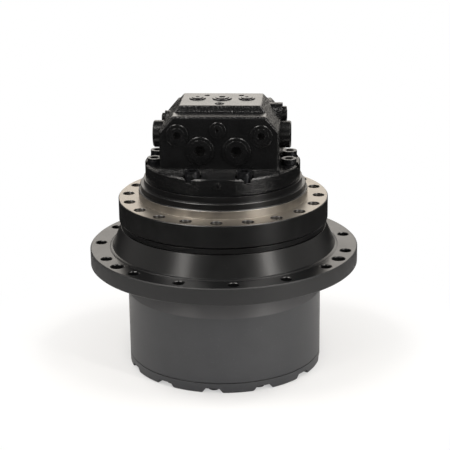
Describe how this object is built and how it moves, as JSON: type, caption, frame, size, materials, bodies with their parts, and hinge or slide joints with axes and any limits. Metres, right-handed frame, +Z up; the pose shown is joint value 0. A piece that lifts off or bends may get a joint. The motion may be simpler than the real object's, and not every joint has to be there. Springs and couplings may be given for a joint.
{
  "type": "excavator final drive",
  "caption": "Travel motor and two-stage planetary gearbox with sprocket flange, frame flange, valve block, parking brake and swash plate.",
  "frame": {"origin": "centre of the drive's axis on the flat outer face of the gear cover, on which it stands", "axes": "+Z up along the drive's axis towards the valve block; -Y is the side of the main port face; +X to the right of someone who looks at the port face"},
  "size_m": [0.444, 0.444, 0.4485],
  "materials": {
    "black_paint": "glossy black machine enamel over cast iron",
    "grey_paint": "satin dark grey primer-like enamel over steel",
    "bare_steel": "turned bare steel, oiled",
    "gear_steel": "case-hardened ground steel, oiled",
    "bearing_steel": "ground and polished bearing steel",
    "bronze": "turned bronze, oiled",
    "nbr_rubber": "moulded nitrile rubber",
    "bolt_steel": "black-oxide alloy steel",
    "spring_steel": "blued spring steel",
    "friction_lining": "brake lining bonded on steel"
  },
  "bodies": {
    "motor_case": {"motor_case": "black_paint", "lower_bearing_cone": "bearing_steel", "upper_bearing_cone": "bearing_steel", "bearing_lock_nut": "bolt_steel", "case_seal_ring": "bearing_steel", "case_seal_o_ring": "nbr_rubber", "second_stage_carrier": "gear_steel", "second_stage_pins": "gear_steel", "second_stage_needles": "bearing_steel", "carrier_bolts": "bolt_steel", "shaft_seal": "nbr_rubber", "shaft_bearing_cups": "bearing_steel", "valve_plate": "bronze", "brake_steel_plates": "gear_steel", "brake_springs": "spring_steel", "valve_block": "black_paint", "valve_block_bolts": "bolt_steel", "right_spool_cap": "black_paint", "left_spool_cap": "black_paint", "spool_springs": "spring_steel", "main_port_plugs": "black_paint", "relief_valves": "black_paint", "block_plugs": "black_paint"},
    "hub": {"gear_cover": "grey_paint", "cover_bolts": "bolt_steel", "cover_plugs": "bolt_steel", "thrust_plate": "bronze", "ring_gear": "grey_paint", "sprocket_hub": "black_paint", "lower_bearing_cup": "bearing_steel", "upper_bearing_cup": "bearing_steel", "hub_seal_ring": "bearing_steel", "hub_seal_o_ring": "nbr_rubber"},
    "lower_rollers": {"lower_bearing_rollers": "bearing_steel"},
    "upper_rollers": {"upper_bearing_rollers": "bearing_steel"},
    "first_carrier": {"first_stage_carrier": "gear_steel", "first_stage_pins": "gear_steel", "first_stage_needles": "bearing_steel", "output_sun_gear": "gear_steel"},
    "shaft": {"input_sun_gear": "gear_steel", "shaft_coupling": "gear_steel", "motor_shaft": "gear_steel", "cylinder_block": "gear_steel", "pistons": "gear_steel", "slippers": "bronze", "retainer_guide": "bronze", "brake_friction_discs": "friction_lining", "shaft_bearing_cones": "bearing_steel"},
    "swash": {"swash_plate": "gear_steel"},
    "retainer": {"slipper_retainer": "gear_steel"},
    "speed_piston": {"speed_piston": "gear_steel"},
    "spool": {"counterbalance_spool": "gear_steel"},
    "brake_piston": {"brake_piston": "gear_steel"},
    "first_planet_1": {"first_planet_gear_1": "gear_steel"},
    "second_planet_1": {"second_planet_gear_1": "gear_steel"},
    "first_planet_2": {"first_planet_gear_2": "gear_steel"},
    "second_planet_2": {"second_planet_gear_2": "gear_steel"},
    "first_planet_3": {"first_planet_gear_3": "gear_steel"},
    "second_planet_3": {"second_planet_gear_3": "gear_steel"}
  },
  "joints": [
    {"name": "hub_spin", "type": "hinge", "parent": "motor_case", "child": "hub", "pos_m": [0, 0, 0.188], "axis": [0, 0, 1], "continuous": true},
    {"name": "lower_rollers_spin", "type": "hinge", "parent": "motor_case", "child": "lower_rollers", "pos_m": [0, 0, 0.185], "axis": [0, 0, 1], "continuous": true},
    {"name": "upper_rollers_spin", "type": "hinge", "parent": "motor_case", "child": "upper_rollers", "pos_m": [0, 0, 0.219], "axis": [0, 0, 1], "continuous": true},
    {"name": "first_carrier_spin", "type": "hinge", "parent": "motor_case", "child": "first_carrier", "pos_m": [0, 0, 0.058], "axis": [0, 0, 1], "continuous": true},
    {"name": "first_planet_1_spin", "type": "hinge", "parent": "first_carrier", "child": "first_planet_1", "pos_m": [0, 0.07312, 0.0365], "axis": [0, 0, 1], "continuous": true},
    {"name": "first_planet_2_spin", "type": "hinge", "parent": "first_carrier", "child": "first_planet_2", "pos_m": [-0.06333, -0.03656, 0.0365], "axis": [0, 0, 1], "continuous": true},
    {"name": "first_planet_3_spin", "type": "hinge", "parent": "first_carrier", "child": "first_planet_3", "pos_m": [0.06333, -0.03656, 0.0365], "axis": [0, 0, 1], "continuous": true},
    {"name": "second_planet_1_spin", "type": "hinge", "parent": "motor_case", "child": "second_planet_1", "pos_m": [0.0682, 0.03938, 0.1005], "axis": [0, 0, 1], "continuous": true},
    {"name": "second_planet_2_spin", "type": "hinge", "parent": "motor_case", "child": "second_planet_2", "pos_m": [-0.0682, 0.03938, 0.1005], "axis": [0, 0, 1], "continuous": true},
    {"name": "second_planet_3_spin", "type": "hinge", "parent": "motor_case", "child": "second_planet_3", "pos_m": [0, -0.07875, 0.1005], "axis": [0, 0, 1], "continuous": true},
    {"name": "motor_shaft_spin", "type": "hinge", "parent": "motor_case", "child": "shaft", "pos_m": [0, 0, 0.24], "axis": [0, 0, 1], "continuous": true, "deforming": ["pistons", "slippers"]},
    {"name": "swash_tilt", "type": "hinge", "parent": "motor_case", "child": "swash", "pos_m": [0, 0, 0.23732], "axis": [-1, 0, 0], "range_deg": [0, 6], "deforming": ["pistons", "slippers"]},
    {"name": "retainer_spin", "type": "hinge", "parent": "swash", "child": "retainer", "pos_m": [0, 0, 0.23732], "axis": [0, -0.2588, 0.9659], "continuous": true},
    {"name": "speed_piston_slide", "type": "slide", "parent": "motor_case", "child": "speed_piston", "axis": [0, 0, 1], "range_m": [0, 0.0058]},
    {"name": "spool_slide", "type": "slide", "parent": "motor_case", "child": "spool", "axis": [1, 0, 0], "range_m": [-0.008, 0.008], "stiffness_N_per_m": 9000, "deforming": ["spool_springs"]},
    {"name": "brake_piston_slide", "type": "slide", "parent": "motor_case", "child": "brake_piston", "axis": [0, 0, 1], "range_m": [0, 0.0015], "stiffness_N_per_m": 20000, "deforming": ["brake_springs"]}
  ],
  "couplings": [
    {"joint": "lower_rollers_spin", "follows": "hub_spin", "ratio": 0.5232},
    {"joint": "upper_rollers_spin", "follows": "hub_spin", "ratio": 0.5232},
    {"joint": "first_carrier_spin", "follows": "hub_spin", "ratio": -3.6667},
    {"joint": "motor_shaft_spin", "follows": "hub_spin", "ratio": -29.333},
    {"joint": "retainer_spin", "follows": "hub_spin", "ratio": -29.333},
    {"joint": "speed_piston_slide", "follows": "swash_tilt", "m_per_rad": 0.054},
    {"joint": "first_planet_1_spin", "follows": "hub_spin", "ratio": 11.407},
    {"joint": "second_planet_1_spin", "follows": "hub_spin", "ratio": 2.75},
    {"joint": "first_planet_2_spin", "follows": "hub_spin", "ratio": 11.407},
    {"joint": "second_planet_2_spin", "follows": "hub_spin", "ratio": 2.75},
    {"joint": "first_planet_3_spin", "follows": "hub_spin", "ratio": 11.407},
    {"joint": "second_planet_3_spin", "follows": "hub_spin", "ratio": 2.75}
  ]
}
